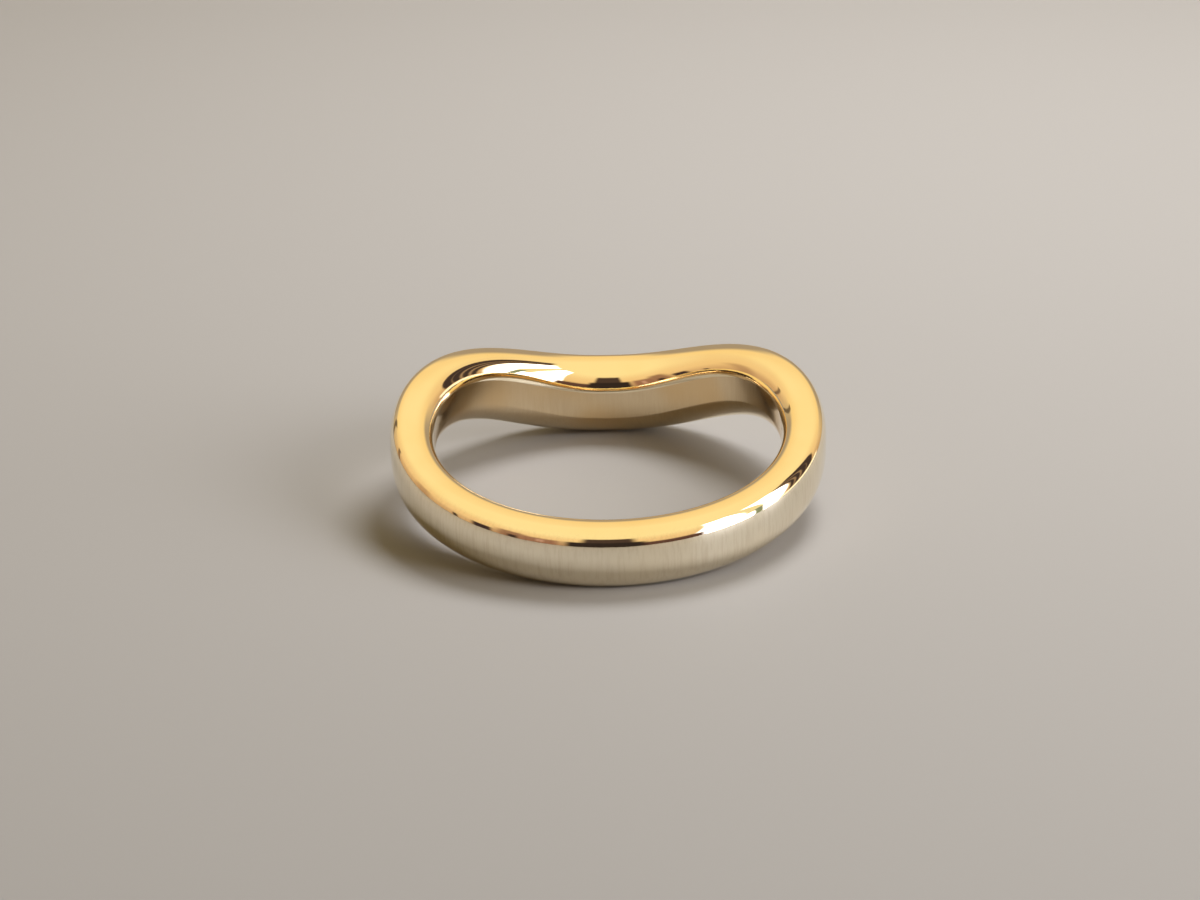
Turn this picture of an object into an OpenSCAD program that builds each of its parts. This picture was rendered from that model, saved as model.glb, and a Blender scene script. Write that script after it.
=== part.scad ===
// Curved gold band ring, lying on its side as it rests on a flat surface.
// The finger hole's axis is almost upright. The front of the band, with its dip, is at the far side (+Y).
// All sizes are in millimetres and all angles in degrees.

/* [Finger hole] */
// Inside diameter of the ring
bore_d = 17; // [14:0.1:22]

/* [Thickness] */
// Thickness of the metal at the front, where the dip is
front_thickness = 2.75; // [1.6:0.05:3.2]
// Thickness of the metal at the sides of the finger
side_thickness = 2.15; // [1.4:0.05:3]
// Thickness of the metal at the back, behind the finger
back_thickness = 2.5; // [1.4:0.05:3]

/* [Width] */
// Width of the band at the front
front_width = 3.9; // [2.4:0.1:6]
// Width of the band at the sides
side_width = 3; // [2:0.1:5]
// Width of the band at the back
back_width = 3; // [2:0.1:5]

/* [Curve] */
// Rise of the broad arch that lifts the front half off the plane of the back half
arch_rise = 2.55; // [0:0.05:4]
// Half angle, seen from the finger's middle, at which the arch has fallen to about a third
arch_spread = 102; // [80:1:115]
// Flatness of the arch's top, where 2 is a plain bell and more has steeper sides
arch_flatness = 2.9; // [2:0.1:5]
// Depth of the dip that is pressed into the top of the arch
dip_depth = 4; // [0:0.1:5]
// Half angle at which the dip has faded to about a third
dip_spread = 46; // [35:1:60]
// Flatness of the dip's bottom, on the same scale as the arch's
dip_flatness = 2.2; // [1.8:0.1:3]

/* [Section] */
// Share of the thickness that lies between the finger hole and the widest line of the section
widest_at = 0.57; // [0.3:0.01:0.65]
// Squareness of the outer half of the section, where 2 is an ellipse
outer_squareness = 2.9; // [2:0.1:4]
// Squareness of the inner half of the section, where 2 is an ellipse
inner_squareness = 2.6; // [2:0.1:4]
// Share of the inner half oval that the finger hole leaves standing
bore_share = 0.97; // [0.85:0.01:0.99]

/* [Smoothness] */
// Number of sections round the ring
stations = 128; // [48:4:128]
// Number of points round each section
section_points = 36; // [16:4:36]

/* [Hidden] */

bore_r = bore_d / 2;
bore_cutter_length = 6 * front_width;
gold = [0.94, 0.76, 0.42];

// Rounds of the search for the angle at which the ring rests
rest_rounds = 6;

// Smooth bell of height 1 at the front, which has fallen to 1/e at the angle `spread`
function bell(angle, spread, flatness) = exp(-pow(abs(sin(angle / 2)) / sin(spread / 2), flatness));

// Height of the middle of the band over the plane of its back half
function wave(angle) =
    arch_rise * bell(angle, arch_spread, arch_flatness) - dip_depth * bell(angle, dip_spread, dip_flatness);

// Slope of the wave, as an angle, at the radius of the middle of the metal
function wave_slope(angle, step = 0.5) =
    atan2(wave(angle + step) - wave(angle - step), 2 * step * PI / 180 * (bore_r + side_thickness / 2));

// A size that goes smoothly from its front value through its side value to its back value
function round_the_ring(angle, front, side, back) =
    (front + 2 * side + back) / 4
    + (front - back) / 2 * cos(angle)
    + (front - 2 * side + back) / 4 * cos(2 * angle);

// A cosine or sine bent towards a square, with its sign kept
function squared(value, squareness) = sign(value) * pow(abs(value), 2 / squareness);

// One point of the oval section: how far outside the finger hole, and how far above the section's middle
function section_point(turn, thickness, width) =
    let (
        squareness = cos(turn) >= 0 ? outer_squareness : inner_squareness,
        reach = cos(turn) >= 0 ? 1 - widest_at : widest_at / bore_share
    )
    [
        thickness * (widest_at + reach * squared(cos(turn), squareness)),
        width / 2 * squared(sin(turn), squareness)
    ];

// One point of the band's skin, with the section held square to the path of the band.
// Angle 0 is the front, at +Y, and angle 90 is at +X.
function skin_point(angle, turn) =
    let (
        thickness = round_the_ring(angle, front_thickness, side_thickness, back_thickness),
        width = round_the_ring(angle, front_width, side_width, back_width),
        point = section_point(turn, thickness, width),
        slope = wave_slope(angle),
        radius = bore_r + point[0],
        along = -point[1] * sin(slope),
        height = wave(angle) + point[1] * cos(slope)
    )
    [
        radius * sin(angle) + along * cos(angle),
        radius * cos(angle) - along * sin(angle),
        height
    ];

skin_points = [
    for (station = [0 : stations - 1], corner = [0 : section_points - 1])
        skin_point(360 * station / stations, 360 * (corner + 0.5) / section_points)
];

// Number of a point in skin_points, with both counts running on round the ring and round the section
function skin_index(station, corner) =
    (station % stations) * section_points + corner % section_points;

// Two triangles for each cell of the skin
skin_faces = [
    for (station = [0 : stations - 1], corner = [0 : section_points - 1])
        each [
            [skin_index(station, corner), skin_index(station + 1, corner), skin_index(station + 1, corner + 1)],
            [skin_index(station, corner), skin_index(station + 1, corner + 1), skin_index(station, corner + 1)]
        ]
];

// Lowest point of one side of the skin once the ring is tilted: side 1 is the front, side -1 is the back
function lowest(side, tilt) =
    let (
        heights = [for (p = skin_points) if (side * p[1] > 0) p[1] * sin(tilt) + p[2] * cos(tilt)]
    )
    min(heights);

// Distance from the back's resting place to the front's
resting_span = 2 * bore_r + front_thickness + back_thickness;

// Tilt at which the front and the back both touch the surface, found by stepping towards it
function resting_tilt(tilt = 0, rounds = rest_rounds) =
    rounds == 0
        ? tilt
        : resting_tilt(tilt + atan2(lowest(-1, tilt) - lowest(1, tilt), resting_span), rounds - 1);

tilt = resting_tilt();
floor_height = lowest(1, tilt);
tilted_depths = [for (p = skin_points) p[1] * cos(tilt) - p[2] * sin(tilt)];
middle_depth = (min(tilted_depths) + max(tilted_depths)) / 2;

// The swept oval, whose inner side reaches a little way into the finger hole
module swept_oval() {
    polyhedron(points = skin_points, faces = skin_faces, convexity = 6);
}

// The finger hole, a true cylinder that cuts the inner wall
module finger_hole() {
    cylinder(d = bore_d, h = bore_cutter_length, center = true, $fn = 180);
}

module band() {
    color(gold)
        translate([0, -middle_depth, -floor_height])
            rotate([tilt, 0, 0])
                difference() {
                    swept_oval();
                    finger_hole();
                }
}

band();
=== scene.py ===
"""A curved gold band ring, resting on its side on a plain pale floor in soft studio light.

The fine mesh of the band repeats the sizes and the formulas of the part's source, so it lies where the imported
node lies. Sizes are in millimetres and angles in degrees until a mesh, lamp or camera is made, in metres.
"""
import logging
import math
from dataclasses import dataclass, field
from enum import Enum
from typing import Any, Optional, Sequence, Union

import bpy
import numpy as np
from mathutils import Matrix, Vector


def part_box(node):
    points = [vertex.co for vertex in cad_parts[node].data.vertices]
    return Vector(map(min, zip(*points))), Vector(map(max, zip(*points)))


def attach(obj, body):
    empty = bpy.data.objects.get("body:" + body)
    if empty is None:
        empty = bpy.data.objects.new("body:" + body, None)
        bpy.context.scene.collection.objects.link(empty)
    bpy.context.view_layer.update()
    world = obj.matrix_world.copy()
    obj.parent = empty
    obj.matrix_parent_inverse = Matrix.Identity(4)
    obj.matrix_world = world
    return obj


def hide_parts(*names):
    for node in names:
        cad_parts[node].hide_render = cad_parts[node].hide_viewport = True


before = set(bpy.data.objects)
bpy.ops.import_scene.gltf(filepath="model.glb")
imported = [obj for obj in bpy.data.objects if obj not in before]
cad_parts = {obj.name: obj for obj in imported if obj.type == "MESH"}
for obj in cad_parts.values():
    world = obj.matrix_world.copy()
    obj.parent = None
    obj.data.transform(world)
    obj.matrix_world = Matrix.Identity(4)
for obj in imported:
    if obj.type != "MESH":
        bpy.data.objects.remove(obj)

LOG = logging.getLogger("gold_band")
METRES = 0.001
Colour = tuple[float, float, float]
Span = tuple[float, float]
Plug = Union["Value", bpy.types.NodeSocket, float, Sequence[float]]


class Finish(Enum):
    """The two ways in which the gold is worked, as the share of satin."""

    POLISHED = 0.0
    SATIN = 1.0


class Value:
    """A number in a node tree, with the operators that add its Math nodes."""

    def __init__(self, tree: "Tree", socket: bpy.types.NodeSocket) -> None:
        """Wraps a socket.

        Args:
            tree: the tree that the socket is in.
            socket: an output with one number.
        """
        self.tree = tree
        self.socket = socket

    def __add__(self, other: Plug) -> "Value":
        """Sum."""
        return self.tree.maths("ADD", self, other)

    def __radd__(self, other: Plug) -> "Value":
        """Sum with a plain number on the left."""
        return self.tree.maths("ADD", other, self)

    def __sub__(self, other: Plug) -> "Value":
        """Difference."""
        return self.tree.maths("SUBTRACT", self, other)

    def __rsub__(self, other: Plug) -> "Value":
        """Difference from a plain number on the left."""
        return self.tree.maths("SUBTRACT", other, self)

    def __mul__(self, other: Plug) -> "Value":
        """Product."""
        return self.tree.maths("MULTIPLY", self, other)

    def __rmul__(self, other: Plug) -> "Value":
        """Product with a plain number on the left."""
        return self.tree.maths("MULTIPLY", other, self)

    def rise(self, low: float, high: float) -> "Value":
        """A smooth step from 0 to 1.

        Args:
            low: the number at which the step starts.
            high: the number at which it is done. Below `low`, the step falls instead.

        Returns:
            The step's height, from 0 to 1.
        """
        if high < low:
            return 1.0 - self.rise(high, low)
        node = self.tree.add(
            "ShaderNodeMapRange",
            {"interpolation_type": "SMOOTHSTEP"},
            {"Value": self, "From Min": low, "From Max": high, "To Min": 0.0, "To Max": 1.0},
        )
        return Value(self.tree, node.outputs["Result"])

    def between(self, low: float, high: float, softness: float) -> "Value":
        """1 inside a range and 0 outside it, with soft ends centred on its limits."""
        half = softness / 2
        return self.rise(low - half, low + half) * self.rise(high + half, high - half)


class Tree:
    """A node tree that is filled by short calls."""

    def __init__(self, owner: Union[bpy.types.Material, bpy.types.World]) -> None:
        """Empties the owner's tree and starts anew.

        Args:
            owner: the material or world whose nodes are made.
        """
        owner.use_nodes = True
        self.nodes = owner.node_tree.nodes
        self.links = owner.node_tree.links
        self.nodes.clear()

    def add(
        self, kind: str, settings: Optional[dict[str, Any]] = None, inputs: Optional[dict[Any, Plug]] = None
    ) -> bpy.types.Node:
        """Adds one node.

        Args:
            kind: the node's type.
            settings: its own settings, such as a Math node's operation, which are set first.
            inputs: the values or links of its sockets, by name or number.

        Returns:
            The new node.
        """
        node = self.nodes.new(kind)
        for name, value in (settings or {}).items():
            setattr(node, name, value)
        for name, value in (inputs or {}).items():
            self.plug(node.inputs[name], value)
        return node

    def plug(self, socket: bpy.types.NodeSocket, value: Plug) -> None:
        """Links a value or socket to an input, or sets the input to a plain number, colour or vector."""
        if isinstance(value, Value):
            self.links.new(value.socket, socket)
        elif isinstance(value, bpy.types.NodeSocket):
            self.links.new(value, socket)
        elif socket.type == "RGBA" and len(value) == 3:
            socket.default_value = (*value, 1.0)
        else:
            socket.default_value = value

    def maths(self, operation: str, *values: Plug) -> Value:
        """One Math node."""
        node = self.add("ShaderNodeMath", {"operation": operation}, dict(enumerate(values)))
        return Value(self, node.outputs[0])

    def mix(self, share: Plug, first: Plug, second: Plug) -> bpy.types.NodeSocket:
        """A colour between two colours.

        Args:
            share: how much of the second colour there is, from 0 to 1.
            first: the colour at 0.
            second: the colour at 1.

        Returns:
            The colour's socket.
        """
        node = self.add("ShaderNodeMix", {"data_type": "RGBA"}, {0: share, 6: first, 7: second})
        return node.outputs[2]

    def noise(self, place: Plug, scale: float, detail: float, roughness: float) -> Value:
        """Smooth noise from 0 to 1.

        Args:
            place: the coordinates.
            scale: waves in each unit of the coordinates.
            detail: how many finer layers are added.
            roughness: how strong the finer layers are.

        Returns:
            The noise's height.
        """
        inputs = {"Vector": place, "Scale": scale, "Detail": detail, "Roughness": roughness}
        return Value(self, self.add("ShaderNodeTexNoise", {}, inputs).outputs[0])


@dataclass(frozen=True)
class GoldFinish:
    """Yellow gold: mirror polish, a paler flank with faint streaks of painted reflection, and satin where the
    finger goes, painted darker with shade and reflection.

    Each noise is given as its waves in a millimetre, its finer layers and their strength.
    """

    colour: Colour = (0.965, 0.855, 0.635)
    deeper: Colour = (0.955, 0.83, 0.59)
    polish: float = 0.035
    # The flank's paler, greyer colour and its darker streaks are painted reflection of the floor in the outer
    # face.
    painted_flank_reflection: Colour = (0.95, 0.89, 0.76)
    painted_flank_reflection_share: float = 0.4
    painted_weave_reflection: Colour = (0.72, 0.63, 0.48)
    painted_weave_reflection_share: float = 0.4
    # The satin wall's darker, browner colour, its streaky, cloudy mottle and its brown patches are painted
    # shade and reflection of the floor and the studio; the satin's roughness and bumps are real.
    wall_shaded_gold: Colour = (0.87, 0.72, 0.48)
    wall_painted_shade: Colour = (0.64, 0.48, 0.29)
    wall_painted_reflection_patch: Colour = (0.77, 0.54, 0.27)
    wall_streaks: float = 0.9
    wall_clouds: float = 0.5
    wall_lift: float = 0.25
    satin: float = 0.1
    satin_spread: float = 0.06
    smear: float = 0.02
    hairline_depth: float = 0.0000006
    streak_depth: float = 0.000004
    streak_stretch: tuple[float, float, float] = (1.0, 1.0, 0.09)
    streak_noise: tuple[float, float, float] = (7.0, 4.0, 0.65)
    hairline_stretch: tuple[float, float, float] = (0.22, 0.22, 1.6)
    hairline_noise: tuple[float, float, float] = (9.0, 3.0, 0.6)
    cloud_noise: tuple[float, float, float] = (0.35, 2.0, 0.5)
    # This noise places the wall's brown patches of painted reflection.
    painted_reflection_patch_noise: tuple[float, float, float] = (0.22, 1.0, 0.5)
    deeper_from: Span = (0.35, 0.7)
    # The flank's darker streaks of painted reflection show over this span of the noise.
    painted_weave_reflection_from: Span = (0.42, 0.68)
    smeared_from: Span = (0.5, 0.75)
    # The wall's brown patches of painted reflection show over this span, at this share.
    painted_reflection_patch_from: Span = (0.4, 0.58)
    painted_reflection_patch_share: float = 0.7

    def material(self, tilt: float) -> bpy.types.Material:
        """Makes the gold's material.

        Args:
            tilt: the angle at which the ring rests, so that the marks follow its axis.

        Returns:
            The new material.
        """
        material = bpy.data.materials.new("polished_gold")
        tree = Tree(material)
        place = tree.add("ShaderNodeTexCoord").outputs["Object"]
        level = tree.add(
            "ShaderNodeMapping",
            {"vector_type": "POINT"},
            {"Vector": place, "Rotation": (math.radians(-tilt), 0.0, 0.0), "Scale": (1 / METRES,) * 3},
        ).outputs[0]
        satin, flank = (
            Value(tree, tree.add("ShaderNodeAttribute", {"attribute_name": name}).outputs["Fac"])
            for name in ("satin", "flank")
        )

        # Streaks run across the band, as a polishing mop leaves them, and hairlines run round it. The streaks
        # are real marks in the satin's roughness and bumps, and painted reflection in the colours of the flank
        # and the wall.
        across, around = (
            tree.add("ShaderNodeMapping", {}, {"Vector": level, "Scale": stretch}).outputs[0]
            for stretch in (self.streak_stretch, self.hairline_stretch)
        )
        streaks = tree.noise(across, *self.streak_noise)
        hairlines = tree.noise(around, *self.hairline_noise)
        clouds = tree.noise(level, *self.cloud_noise)
        painted_reflection_patch = tree.noise(level, *self.painted_reflection_patch_noise)

        outside = tree.mix(clouds.rise(*self.deeper_from), self.colour, self.deeper)
        # Painted reflection: the flank is paler, with darker streaks, as the floor seen in it.
        outside = tree.mix(flank * self.painted_flank_reflection_share, outside, self.painted_flank_reflection)
        outside = tree.mix(flank * streaks.rise(*self.painted_weave_reflection_from) * self.painted_weave_reflection_share, outside, self.painted_weave_reflection)
        # Painted shade and reflection: the satin wall is darker and browner, with streaks, clouds and brown
        # patches.
        painted_wall_reflection = self.wall_streaks * streaks + self.wall_clouds * clouds - self.wall_lift
        inside = tree.mix(painted_wall_reflection, self.wall_shaded_gold, self.wall_painted_shade)
        inside = tree.mix(painted_reflection_patch.rise(*self.painted_reflection_patch_from) * self.painted_reflection_patch_share, inside, self.wall_painted_reflection_patch)
        colour = tree.mix(satin, outside, inside)
        polished = self.polish + self.smear * clouds.rise(*self.smeared_from)
        roughness = polished * (1.0 - satin) + (self.satin + self.satin_spread * (streaks - 0.5)) * satin
        height = hairlines * (1.0 - satin) * self.hairline_depth + streaks * satin * self.streak_depth
        bump = tree.add("ShaderNodeBump", {}, {"Strength": 1.0, "Distance": 1.0, "Height": height})
        shader = tree.add(
            "ShaderNodeBsdfPrincipled",
            {},
            {"Base Color": colour, "Metallic": 1.0, "Roughness": roughness, "Normal": bump.outputs[0]},
        )
        tree.add("ShaderNodeOutputMaterial", {}, {"Surface": shader.outputs[0]})
        return material


@dataclass
class Band:
    """The band: a rounded oval section swept round the finger hole on a wavy path, with a round inner wall.

    Angle 0 is the front of the band, where the dip is, at +Y, and angle 90 is at +X.
    """

    bore_d: float = 17.0
    front_thickness: float = 2.75
    side_thickness: float = 2.15
    back_thickness: float = 2.5
    front_width: float = 3.9
    side_width: float = 3.0
    back_width: float = 3.0
    arch_rise: float = 2.55
    arch_spread: float = 102.0
    arch_flatness: float = 2.9
    dip_depth: float = 4.0
    dip_spread: float = 46.0
    dip_flatness: float = 2.2
    widest_at: float = 0.57
    outer_squareness: float = 2.9
    inner_squareness: float = 2.6
    bore_share: float = 0.97
    stations: int = 512
    outer_points: int = 84
    wall_points: int = 16
    fine_points: int = 1601
    halvings: int = 40
    edge_rows: tuple[float, ...] = (0.015, 0.045)
    satin_fade: float = 1.6
    flank_edge: Span = (0.6, 0.95)
    finish: GoldFinish = field(default_factory=GoldFinish)
    tilt: float = 0.0

    @property
    def bore_r(self) -> float:
        """Radius of the finger hole."""
        return self.bore_d / 2

    def bell(self, angle: np.ndarray, spread: float, flatness: float) -> np.ndarray:
        """Smooth bell of height 1 at the front, which has fallen to 1/e at the angle `spread`."""
        reach = np.abs(np.sin(np.radians(angle / 2))) / math.sin(math.radians(spread / 2))
        return np.exp(-np.power(reach, flatness))

    def wave(self, angle: np.ndarray) -> np.ndarray:
        """Height of the middle of the band over the plane of its back half."""
        arch = self.arch_rise * self.bell(angle, self.arch_spread, self.arch_flatness)
        return arch - self.dip_depth * self.bell(angle, self.dip_spread, self.dip_flatness)

    def wave_slope(self, angle: np.ndarray, step: float = 0.5) -> np.ndarray:
        """Slope of the wave in radians, at the radius of the middle of the metal."""
        run = 2 * math.radians(step) * (self.bore_r + self.side_thickness / 2)
        return np.arctan2(self.wave(angle + step) - self.wave(angle - step), run)

    def round_the_ring(self, angle: np.ndarray, front: float, side: float, back: float) -> np.ndarray:
        """A size that goes smoothly from its front value through its side value to its back value."""
        turn = np.radians(angle)
        return (
            (front + 2 * side + back) / 4
            + (front - back) / 2 * np.cos(turn)
            + (front - 2 * side + back) / 4 * np.cos(2 * turn)
        )

    def section(
        self, turn: np.ndarray, thickness: np.ndarray, width: np.ndarray
    ) -> tuple[np.ndarray, np.ndarray]:
        """Points of the oval section.

        Args:
            turn: the angle about the section's middle, in radians, where 0 points outwards.
            thickness: thickness of the metal there.
            width: width of the band there.

        Returns:
            How far outside the finger hole each point is, and how far above the section's middle.
        """
        cosine, sine = np.cos(turn), np.sin(turn)
        outside = cosine >= 0
        power = np.where(outside, 2 / self.outer_squareness, 2 / self.inner_squareness)
        reach = np.where(outside, 1 - self.widest_at, self.widest_at / self.bore_share)
        out = thickness * (self.widest_at + reach * np.sign(cosine) * np.abs(cosine) ** power)
        up = width / 2 * np.sign(sine) * np.abs(sine) ** power
        return out, up

    def crease(self, thickness: np.ndarray, width: np.ndarray, slope: np.ndarray) -> np.ndarray:
        """Finds where the oval meets the finger hole.

        Args:
            thickness: thickness of the metal at each station.
            width: width of the band at each station.
            slope: slope of the band at each station, in radians.

        Returns:
            The turn of the upper crease at each station, in radians. The lower crease mirrors it.
        """
        low, high = np.full_like(slope, math.pi / 2), np.full_like(slope, math.pi)
        for _ in range(self.halvings):
            middle = (low + high) / 2
            out, up = self.section(middle, thickness, width)
            outside = np.hypot(self.bore_r + out, up * np.sin(slope)) > self.bore_r
            low, high = np.where(outside, middle, low), np.where(outside, high, middle)
        return (low + high) / 2

    @staticmethod
    def with_edge_rows(count: int, rows: Sequence[float], length: np.ndarray) -> np.ndarray:
        """Shares of a run's length, evenly spaced, with close rows just inside both ends.

        Args:
            count: how many even steps the run has.
            rows: distances of the close rows from the ends.
            length: the run's length at each station.

        Returns:
            One row of shares from 0 to 1 for each station.
        """
        even = np.tile(np.linspace(0, 1, count + 1)[1:-1], (len(length), 1))
        close = np.array(rows)[None, :] / length[:, None]
        ends = np.zeros((len(length), 1))
        return np.concatenate([ends, close, even, 1 - close[:, ::-1], 1 - ends], axis=1)

    def skin(self) -> tuple[np.ndarray, dict[str, np.ndarray], int]:
        """Works out the skin's points before the ring is laid down.

        Returns:
            The points, as stations by rows by 3. The shares of satin and of flank of each row. The number of
            the row at the upper crease.
        """
        angle = np.arange(self.stations) * 360 / self.stations
        thickness = self.round_the_ring(angle, self.front_thickness, self.side_thickness, self.back_thickness)
        width = self.round_the_ring(angle, self.front_width, self.side_width, self.back_width)
        slope = self.wave_slope(angle)
        crease = self.crease(thickness, width, slope)

        fine = np.linspace(-1, 1, self.fine_points)[None, :] * crease[:, None]
        out, up = self.section(fine, thickness[:, None], width[:, None])
        step = np.hypot(np.diff(out, axis=1), np.diff(up, axis=1))
        run = np.concatenate([np.zeros((self.stations, 1)), np.cumsum(step, axis=1)], axis=1)
        length = run[:, -1:]
        places = self.with_edge_rows(self.outer_points, self.edge_rows, length[:, 0]) * length
        outer = np.stack(
            [[np.interp(*three) for three in zip(places, run, lines)] for lines in (out, up)], axis=-1
        )

        rise = outer[:, -1, 1]
        down = self.with_edge_rows(self.wall_points, self.edge_rows, 2 * rise)[:, 1:-1]
        wall_up = rise[:, None] * (1 - 2 * down)
        along = wall_up * np.sin(slope)[:, None]
        wall_out = np.sqrt(self.bore_r**2 - along**2) - self.bore_r
        section = np.concatenate([outer, np.stack([wall_out, wall_up], axis=-1)], axis=1)
        outer_rows = outer.shape[1]
        satin = np.full(section.shape[1], Finish.SATIN.value)
        fade = (Finish.SATIN.value, Finish.POLISHED.value)
        satin[:outer_rows] = np.interp(places.mean(axis=0), (0, self.satin_fade), fade)
        # The flank is the outermost band of the outer face, which is painted paler, with streaks, as a
        # reflection.
        flank = np.zeros(section.shape[1])
        out_share = (outer[..., 0] / thickness[:, None]).mean(axis=0)
        up_share = (2 * np.abs(outer[..., 1]) / width[:, None]).mean(axis=0)
        flank[:outer_rows] = np.interp(up_share, self.flank_edge, (1, 0)) * (out_share > self.widest_at)

        turn = np.radians(angle)[:, None]
        radius = self.bore_r + section[..., 0]
        along = -section[..., 1] * np.sin(slope)[:, None]
        height = self.wave(angle)[:, None] + section[..., 1] * np.cos(slope)[:, None]
        points = np.stack(
            [
                radius * np.sin(turn) + along * np.cos(turn),
                radius * np.cos(turn) - along * np.sin(turn),
                height,
            ],
            axis=-1,
        )
        return points, {"satin": satin, "flank": flank}, outer_rows - 1

    def lay_down(self, points: np.ndarray, rounds: int = 8) -> np.ndarray:
        """Tilts the ring until its front and its back both touch the floor, and centres it.

        Args:
            points: the skin's points.
            rounds: how often the tilt is corrected.

        Returns:
            The points where they rest.
        """
        span = self.bore_d + self.front_thickness + self.back_thickness
        front = points[..., 1] > 0
        for _ in range(rounds):
            lean = math.radians(self.tilt)
            height = points[..., 1] * math.sin(lean) + points[..., 2] * math.cos(lean)
            self.tilt += math.degrees(math.atan2(height[~front].min() - height[front].min(), span))
        turned = points @ np.array(Matrix.Rotation(math.radians(self.tilt), 3, "X")).T
        turned[..., 1] -= (turned[..., 1].min() + turned[..., 1].max()) / 2
        turned[..., 2] -= turned[..., 2].min()
        return turned

    def build(self) -> bpy.types.Object:
        """Makes the band's mesh object.

        Returns:
            The band, in metres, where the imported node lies.
        """
        points, shares, upper_crease = self.skin()
        points = self.lay_down(points)
        rings, rows = points.shape[:2]
        number = np.arange(rings * rows).reshape(rings, rows)
        after = np.roll(number, -1, axis=0)
        faces = np.stack(
            [number, after, np.roll(after, -1, axis=1), np.roll(number, -1, axis=1)], axis=-1
        ).reshape(-1, 4)
        mesh = bpy.data.meshes.new("gold_band")
        mesh.from_pydata((points.reshape(-1, 3) * METRES).tolist(), [], faces.tolist())
        mesh.polygons.foreach_set("use_smooth", np.ones(len(faces), bool))
        for name, share in shares.items():
            attribute = mesh.attributes.new(name, "FLOAT", "POINT")
            attribute.data.foreach_set("value", np.tile(share, rings).astype(np.float32))
        creases = {0, upper_crease}
        for edge in mesh.edges:
            first, second = (v % rows for v in edge.vertices)
            edge.use_edge_sharp = first == second and first in creases
        mesh.validate()
        band = bpy.data.objects.new("gold_band", mesh)
        bpy.context.scene.collection.objects.link(band)
        return band

    def dress(self, band: bpy.types.Object) -> None:
        """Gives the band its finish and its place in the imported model."""
        band.data.materials.append(self.finish.material(self.tilt))
        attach(band, "root")
        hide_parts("band")

    def report(self, band: bpy.types.Object) -> None:
        """Logs the band's size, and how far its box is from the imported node's."""
        points = np.array([v.co for v in band.data.vertices])
        low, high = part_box("band")
        off = max(np.abs(points.min(0) - np.array(low)).max(), np.abs(points.max(0) - np.array(high)).max())
        LOG.info(
            "%s: %d faces, tilt %.3f degrees, box within %.3f mm of the node's",
            band.name, len(band.data.polygons), self.tilt, off / METRES,
        )


@dataclass(frozen=True)
class Panel:
    """A soft-edged panel of the studio's surroundings, given by the directions that it covers.

    Azimuth 0 is on the camera's side and grows to the camera's right. Elevation 0 is level.
    """

    name: str
    azimuth: Span
    elevation: Span
    colour: Colour
    softness: float = 4.0
    strength: float = 1.0
    lean: float = 0.0

    def mask(self, azimuth: Value, elevation: Value) -> Value:
        """How much of the panel is seen in a direction.

        Args:
            azimuth: the direction's azimuth in degrees.
            elevation: the direction's elevation in degrees.

        Returns:
            The share of the panel's colour, from 0 to its strength.
        """
        across = azimuth - elevation * self.lean if self.lean else azimuth
        beside = across.between(*self.azimuth, self.softness)
        return beside * elevation.between(*self.elevation, self.softness) * self.strength


@dataclass(frozen=True)
class FloorLamp:
    """A soft round lamp that lights the floor and isn't seen in the gold. Its angles are those of a panel."""

    name: str
    azimuth: float
    elevation: float
    size: float
    power: float
    distance: float = 170.0
    colour: Colour = (0.97, 0.97, 1.0)

    def build(self) -> bpy.types.Object:
        """Makes the lamp.

        Returns:
            The lamp's object, which faces the ring.
        """
        data = bpy.data.lights.new(self.name, "AREA")
        data.shape = "DISK"
        data.size = self.size * METRES
        data.energy = self.power
        data.color = self.colour
        turn, rise = math.radians(self.azimuth), math.radians(self.elevation)
        away = Vector((math.sin(turn) * math.cos(rise), -math.cos(turn) * math.cos(rise), math.sin(rise)))
        facing = away.to_track_quat("Z", "Y").to_matrix().to_4x4()
        lamp = bpy.data.objects.new(self.name, data)
        lamp.matrix_world = Matrix.Translation(away * self.distance * METRES) @ facing
        lamp.visible_glossy = False
        lamp.visible_camera = False
        bpy.context.scene.collection.objects.link(lamp)
        return lamp


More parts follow.
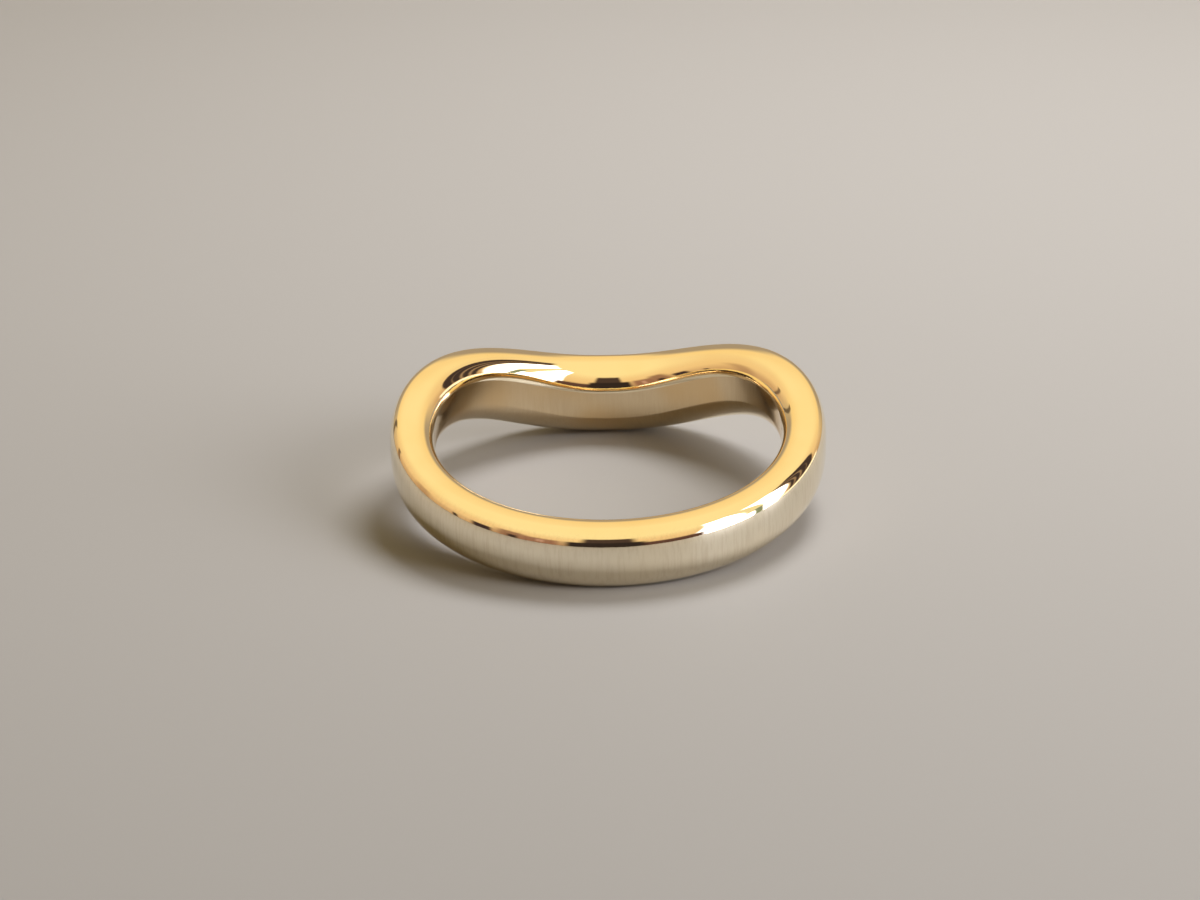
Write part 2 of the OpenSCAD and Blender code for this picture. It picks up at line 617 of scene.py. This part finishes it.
@dataclass
class Studio:
    """The studio's light: a warm ceiling, walls, a daylight softbox at the front right, and dark flags."""

    ceiling: Colour = (1.06, 0.87, 0.445)
    wall: Colour = (0.94, 0.66, 0.32)
    wall_top: Span = (22.0, 58.0)
    low_wall: Colour = (0.64, 0.40, 0.205)
    low_wall_top: Span = (2.0, 24.0)
    rear_wall: Colour = (1.02, 0.75, 0.34)
    rear_wall_top: Span = (28.0, 50.0)
    behind: Colour = (0.41, 0.325, 0.225)
    behind_top: Span = (16.0, 28.0)
    behind_sides: Span = (128.0, 152.0)
    below: Colour = (0.52, 0.51, 0.50)
    horizon: Span = (0.0, -2.0)
    backdrop: Colour = (0.60, 0.59, 0.575)
    share_for_floor: float = 0.16
    lamps: tuple[FloorLamp, ...] = (
        FloorLamp("high_lamp", 150, 57, 80, 0.25),
        FloorLamp("softbox_lamp", 64, 30, 90, 0.1),
    )
    panels: tuple[Panel, ...] = (
        Panel("left rail", (-130.5, -128), (-4, 20), (0.10, 0.06, 0.04), 1.5, 0.8),
        Panel("rear left rail", (-144, -141), (-4, 26), (0.06, 0.04, 0.03), 1.5, 0.8),
        Panel("left shelf", (-110, -100), (-4, 20), (0.42, 0.24, 0.13), 8, 0.6),
        Panel("left stand", (-72, -61), (-4, 14), (0.05, 0.03, 0.03), 4),
        Panel("left drape", (-58, -44), (-4, 25), (0.27, 0.13, 0.08), 8, 0.85),
        Panel("front left flag", (-46, -25), (-4, 20), (0.30, 0.14, 0.09), 8, 0.9),
        Panel("small stand", (-84, -81), (-4, 9), (0.06, 0.04, 0.03), 2),
        Panel("small stand", (-52, -47), (-4, 10), (0.05, 0.03, 0.025), 3),
        Panel("small stand", (-37, -33), (4, 15), (0.62, 0.36, 0.26), 3, 0.8),
        Panel("softbox", (40, 93), (-4, 51), (4.2, 4.2, 4.6), 5, 1.0, 0.36),
        Panel("softbox rib", (71, 83), (15, 56), (0.98, 0.84, 0.47), 3, 1.0, 0.08),
        Panel("softbox rib foot", (77.5, 83), (-4, 20), (0.28, 0.32, 0.20), 2),
        Panel("front right flag", (12, 49), (-4, 13), (0.12, 0.06, 0.045), 5),
        Panel("front flag", (-14, 13), (-4, 42), (0.075, 0.047, 0.036), 6),
        Panel("front flag foot", (-22, 18), (-4, 20), (0.035, 0.024, 0.02), 6),
        Panel("sill", (94, 128), (-4, 5), (1.5, 1.3, 0.95), 3),
        Panel("screen", (98.5, 119), (6, 50), (0.40, 0.26, 0.15), 3, 1.0, 0.22),
        Panel("screen slat", (99, 102), (6, 49), (0.06, 0.04, 0.035), 1.6, 1.0, 0.22),
        Panel("screen slat", (103.5, 107), (6, 49), (0.06, 0.04, 0.035), 1.6, 1.0, 0.22),
        Panel("screen slat", (108.5, 113), (6, 49), (0.06, 0.04, 0.035), 1.6, 1.0, 0.22),
        Panel("screen slat", (114, 120), (6, 49), (0.06, 0.04, 0.035), 1.6, 1.0, 0.18),
    )

    def build(self) -> bpy.types.World:
        """Makes the world and the lamps.

        Returns:
            The world, which is also made the scene's own.
        """
        for lamp in self.lamps:
            lamp.build()
        world = bpy.data.worlds.new("studio")
        bpy.context.scene.world = world
        tree = Tree(world)
        direction = tree.add("ShaderNodeTexCoord").outputs["Generated"]
        axes = tree.add("ShaderNodeSeparateXYZ", {}, {0: direction})
        across, away, up = (Value(tree, socket) for socket in axes.outputs)
        azimuth = tree.maths("ARCTAN2", across, -1.0 * away) * (180 / math.pi)
        elevation = tree.maths("ARCSINE", up) * (180 / math.pi)
        side = tree.maths("ABSOLUTE", azimuth)

        colour = tree.mix(elevation.rise(*self.wall_top), self.wall, self.ceiling)
        colour = tree.mix(elevation.rise(*self.low_wall_top[::-1]), colour, self.low_wall)
        rear = side.rise(*self.behind_sides)
        above = tree.mix(elevation.rise(*self.rear_wall_top), self.rear_wall, self.ceiling)
        colour = tree.mix(rear, colour, above)
        colour = tree.mix(rear * elevation.rise(*self.behind_top[::-1]), colour, self.behind)
        for panel in self.panels:
            colour = tree.mix(panel.mask(azimuth, elevation), colour, panel.colour)
        colour = tree.mix(elevation.rise(*self.horizon), colour, self.below)

        path = tree.add("ShaderNodeLightPath").outputs
        strength = 1.0 - (1.0 - self.share_for_floor) * Value(tree, path["Is Diffuse Ray"])
        light = tree.add("ShaderNodeBackground", {}, {"Color": colour, "Strength": strength})
        plain = tree.add("ShaderNodeBackground", {}, {"Color": self.backdrop, "Strength": 1.0})
        chosen = tree.add(
            "ShaderNodeMixShader", {}, {0: path["Is Camera Ray"], 1: light.outputs[0], 2: plain.outputs[0]}
        )
        tree.add("ShaderNodeOutputWorld", {}, {"Surface": chosen.outputs[0]})
        return world


@dataclass
class Floor:
    """The plain pale floor that the ring rests on, with a slight satin sheen."""

    width: float = 4000.0
    colour: Colour = (0.41, 0.395, 0.375)
    roughness: float = 0.5
    sheen: float = 0.2

    def build(self) -> bpy.types.Object:
        """Makes the floor.

        Returns:
            The floor's object.
        """
        half = self.width / 2 * METRES
        mesh = bpy.data.meshes.new("floor")
        corners = [(-half, -half, 0), (half, -half, 0), (half, half, 0), (-half, half, 0)]
        mesh.from_pydata(corners, [], [(0, 1, 2, 3)])
        floor = bpy.data.objects.new("floor", mesh)
        bpy.context.scene.collection.objects.link(floor)
        material = bpy.data.materials.new("pale_floor")
        tree = Tree(material)
        shader = tree.add(
            "ShaderNodeBsdfPrincipled",
            {},
            {"Base Color": self.colour, "Roughness": self.roughness, "Specular IOR Level": self.sheen},
        )
        tree.add("ShaderNodeOutputMaterial", {}, {"Surface": shader.outputs[0]})
        mesh.materials.append(material)
        return floor


@dataclass
class PhotoCamera:
    """The camera, at the photograph's viewing angle."""

    place: tuple[float, float, float] = (0.76, -158.02, 65.46)
    aim: tuple[float, float, float] = (-0.407, -0.014, 2.70)
    roll: float = -1.09
    lens: float = 104.05
    sensor: float = 36.0

    def build(self) -> bpy.types.Object:
        """Makes the camera and makes it the scene's own.

        Returns:
            The camera's object.
        """
        data = bpy.data.cameras.new("photo_camera")
        data.sensor_fit = "HORIZONTAL"
        data.sensor_width = self.sensor
        data.lens = self.lens
        data.clip_start = 0.001
        data.clip_end = 50.0
        camera = bpy.data.objects.new("photo_camera", data)
        place, aim = Vector(self.place) * METRES, Vector(self.aim) * METRES
        facing = (aim - place).to_track_quat("-Z", "Y").to_matrix()
        turned = facing @ Matrix.Rotation(math.radians(self.roll), 3, "Z")
        camera.matrix_world = Matrix.Translation(place) @ turned.to_4x4()
        bpy.context.scene.collection.objects.link(camera)
        bpy.context.scene.camera = camera
        return camera


def main() -> None:
    """Builds the camera, the studio, the floor and the band."""
    logging.basicConfig(level=logging.INFO, format="%(name)s: %(message)s")
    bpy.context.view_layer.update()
    bpy.context.scene.view_settings.view_transform = "Standard"
    camera = PhotoCamera().build()
    LOG.info("%s: at %s", camera.name, tuple(round(v, 4) for v in camera.matrix_world.translation))
    studio = Studio()
    world = studio.build()
    LOG.info("%s: %d panels and %d lamps", world.name, len(studio.panels), len(studio.lamps))
    floor = Floor().build()
    LOG.info("%s: is laid", floor.name)
    ring = Band()
    band = ring.build()
    ring.dress(band)
    ring.report(band)


if __name__ == "__main__":
    main()
